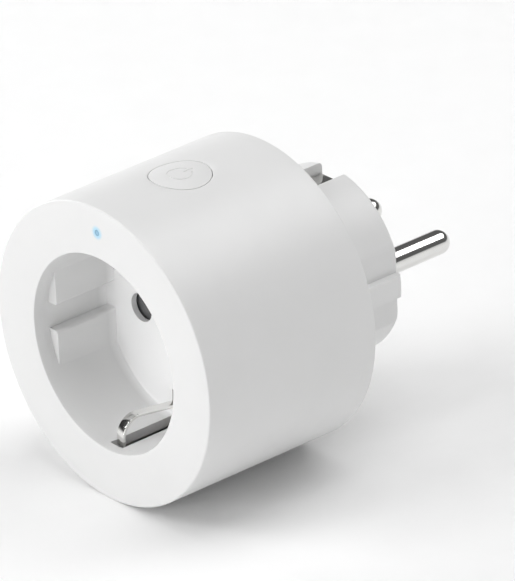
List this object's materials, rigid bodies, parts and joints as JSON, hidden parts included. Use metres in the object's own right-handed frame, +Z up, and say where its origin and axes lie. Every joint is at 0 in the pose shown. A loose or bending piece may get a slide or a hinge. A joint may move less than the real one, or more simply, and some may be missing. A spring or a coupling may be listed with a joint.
{
  "type": "smart plug",
  "caption": "Round white smart plug that sits between a wall socket and an appliance plug, with an earthed recess, a top button and a status light.",
  "frame": {"origin": "on the plug axis, in the plane where the body meets the wall socket", "axes": "+Z up towards the button, +Y along the wall pins into the wall, the open recess faces -Y"},
  "size_m": [0.0596, 0.0765, 0.0596],
  "materials": {
    "casing": "satin moulded white, faint mould texture",
    "face": "smooth satin white",
    "pin_metal": "nickel plated, polished",
    "clip_metal": "nickel plated spring strip, bright",
    "contact_bronze": "bare phosphor bronze, satin",
    "strap_brass": "bare stamped brass",
    "copper_bar": "bare copper alloy, slightly dull",
    "screw_steel": "zinc plated",
    "spring_steel": "drawn wire",
    "carrier_plastic": "matt natural nylon",
    "dark_plastic": "matt black moulding",
    "shutter_plastic": "matt dark grey moulding",
    "board_green": "solder mask over glass fibre",
    "module_blue": "dark blue solder mask",
    "relay_case": "moulded blue case",
    "capacitor_sleeve": "shrink sleeve with a pressed aluminium top",
    "ferrite": "sintered ferrite with a wire winding",
    "varistor_coat": "dipped epoxy coat",
    "resistor_body": "lacquered ceramic",
    "chip_epoxy": "matt moulding compound",
    "shield_tin": "tin plated pressed lid",
    "light_clear": "clear moulded rod lit blue from behind",
    "led_body": "white package with a clear lens"
  },
  "bodies": {
    "casing": {"outer_shell": "casing", "socket_cup": "face", "rear_cover": "casing", "case_screws": "screw_steel", "wall_pin_left": "pin_metal", "wall_pin_right": "pin_metal", "rear_earth_strip_upper": "clip_metal", "rear_earth_strip_lower": "clip_metal", "earth_socket_tube": "pin_metal", "earth_strap": "strap_brass", "shutter_spring": "spring_steel", "contact_carrier": "carrier_plastic", "contact_left": "contact_bronze", "contact_right": "contact_bronze", "busbar_left": "copper_bar", "busbar_right": "copper_bar", "power_board": "board_green", "relay": "relay_case", "main_capacitor": "capacitor_sleeve", "output_capacitor": "capacitor_sleeve", "filter_inductor": "ferrite", "varistor": "varistor_coat", "fuse_resistor": "resistor_body", "bridge_rectifier": "chip_epoxy", "board_link": "dark_plastic", "control_board": "board_green", "wireless_module": "module_blue", "wireless_shield": "shield_tin", "tact_switch": "dark_plastic", "switch_dome": "spring_steel", "status_led": "led_body", "light_pipe": "light_clear"},
    "button": {"button_cap": "casing", "switch_plunger": "dark_plastic"},
    "shutter": {"shutter": "shutter_plastic"},
    "earth_clip_upper": {"earth_clip_upper": "clip_metal"},
    "earth_clip_lower": {"earth_clip_lower": "clip_metal"}
  },
  "joints": [
    {"name": "button_press", "type": "slide", "parent": "casing", "child": "button", "axis": [0, 0, -1], "range_m": [0, 0.0005], "stiffness_N_per_m": 2400, "springref_m": -0.0001},
    {"name": "shutter_turn", "type": "hinge", "parent": "casing", "child": "shutter", "pos_m": [0, -0.0206, 0], "axis": [0, 1, 0], "range_deg": [0, 40], "stiffness_Nm_per_rad": 0.002, "springref_deg": -17.19},
    {"name": "upper_clip_flex", "type": "hinge", "parent": "casing", "child": "earth_clip_upper", "pos_m": [0, -0.0203, 0.0167], "axis": [-1, 0, 0], "range_deg": [0, 5], "stiffness_Nm_per_rad": 1.6},
    {"name": "lower_clip_flex", "type": "hinge", "parent": "casing", "child": "earth_clip_lower", "pos_m": [0, -0.0203, -0.0167], "axis": [1, 0, 0], "range_deg": [0, 5], "stiffness_Nm_per_rad": 1.6}
  ]
}
